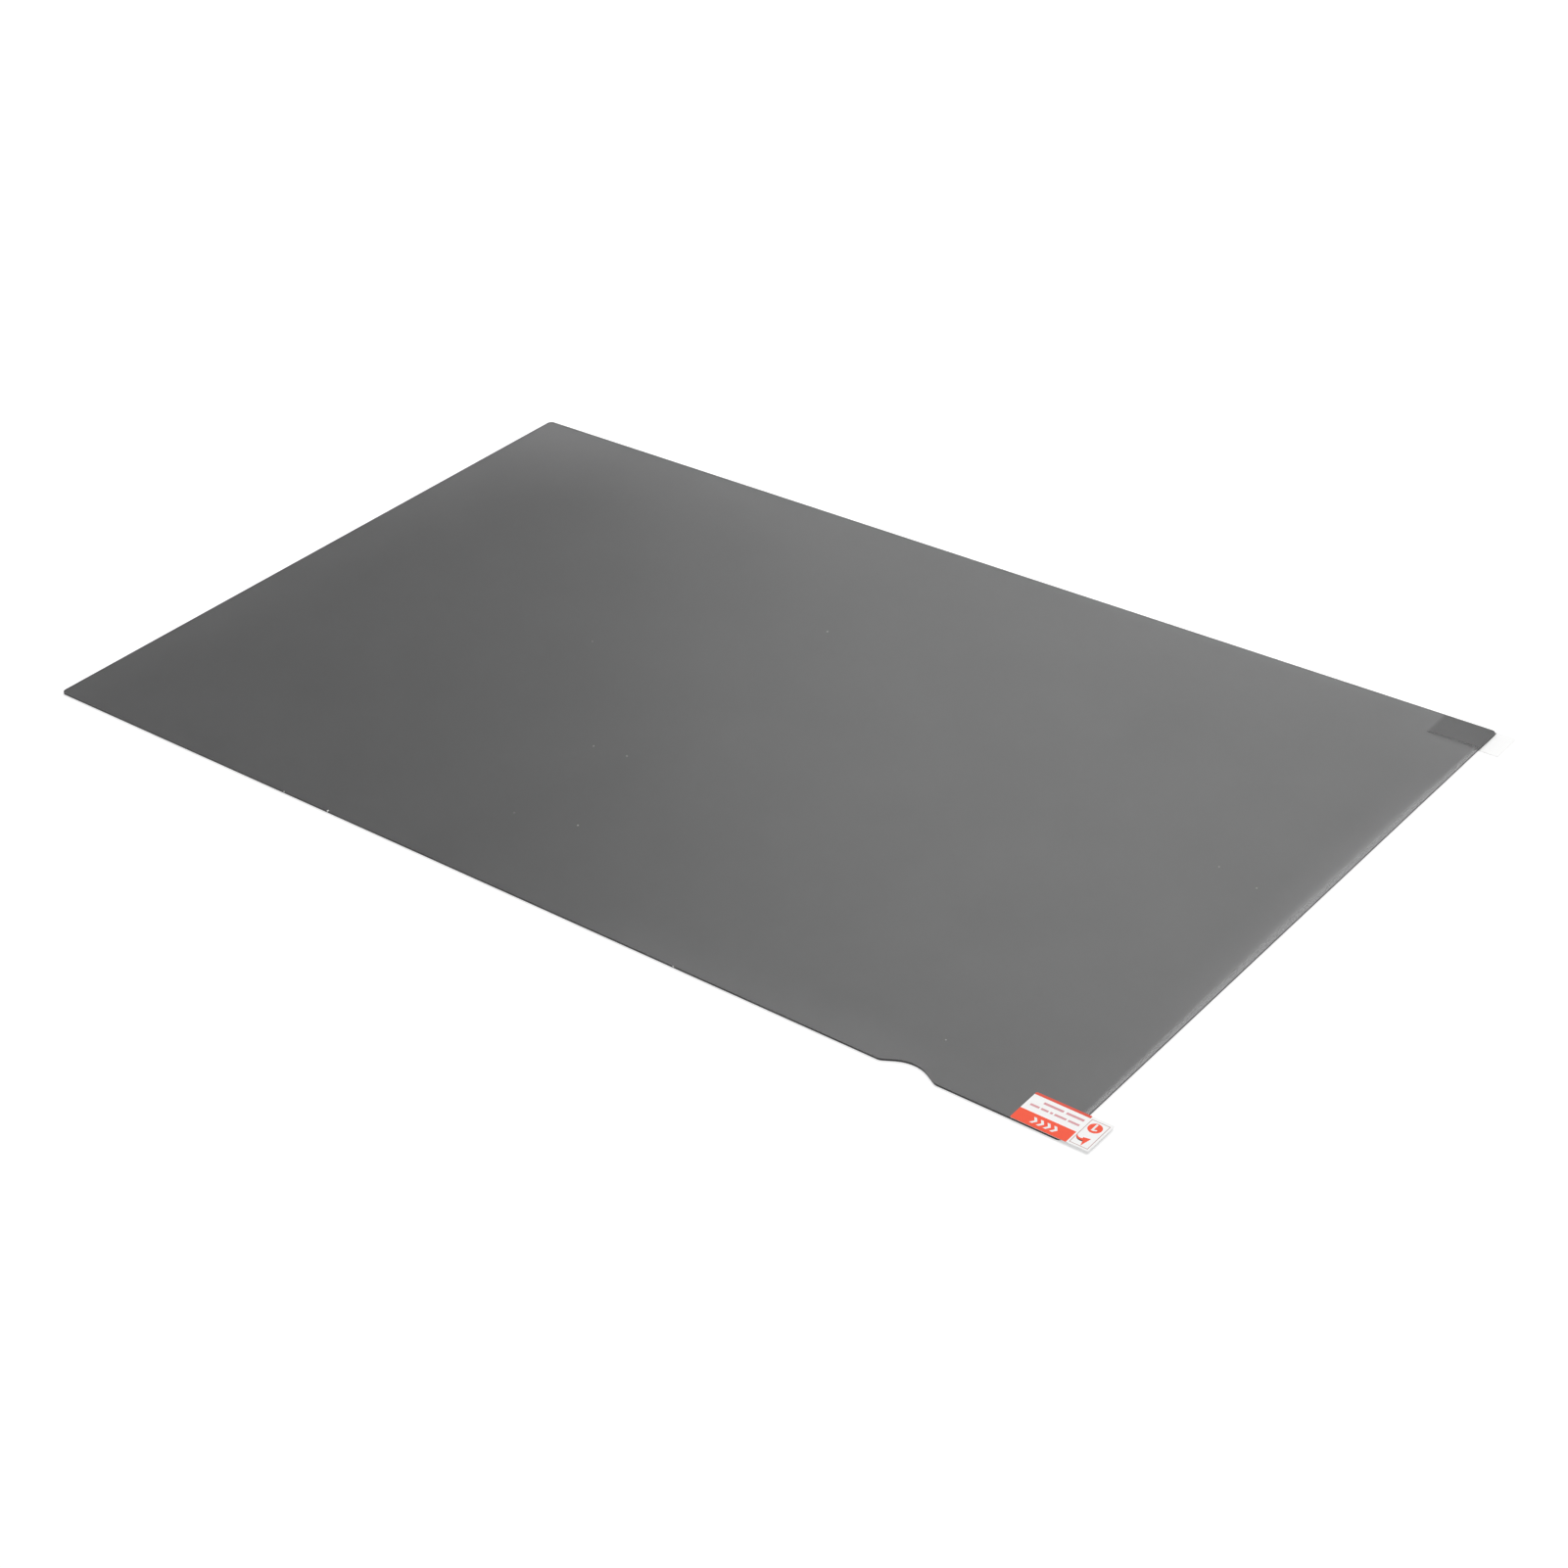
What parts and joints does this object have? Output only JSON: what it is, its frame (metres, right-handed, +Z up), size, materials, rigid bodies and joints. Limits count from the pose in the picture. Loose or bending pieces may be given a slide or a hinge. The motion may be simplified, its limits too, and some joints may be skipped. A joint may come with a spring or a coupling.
{
  "type": "laptop privacy filter",
  "caption": "Thin dark louvre sheet with rounded corners and a finger notch, clear peel-off masks and pull tabs, laid over a laptop screen to narrow its viewing angle.",
  "frame": {"origin": "middle of the sheet in plan, on the underside of the lower mask film", "axes": "+X along the long edges towards the pull tabs, +Y away from the edge with the finger notch, +Z up through the sheet"},
  "size_m": [0.3379, 0.2075, 0.0008],
  "materials": {
    "louvre_plastic": "satin dark grey, partly see-through",
    "clear_film": "clear thin film",
    "tab_label": "white label stock with a red print"
  },
  "bodies": {
    "root": {"filter_sheet": "louvre_plastic", "back_mask_film": "clear_film", "front_mask_film": "clear_film", "back_pull_tab": "tab_label", "front_pull_tab": "tab_label"}
  },
  "joints": []
}
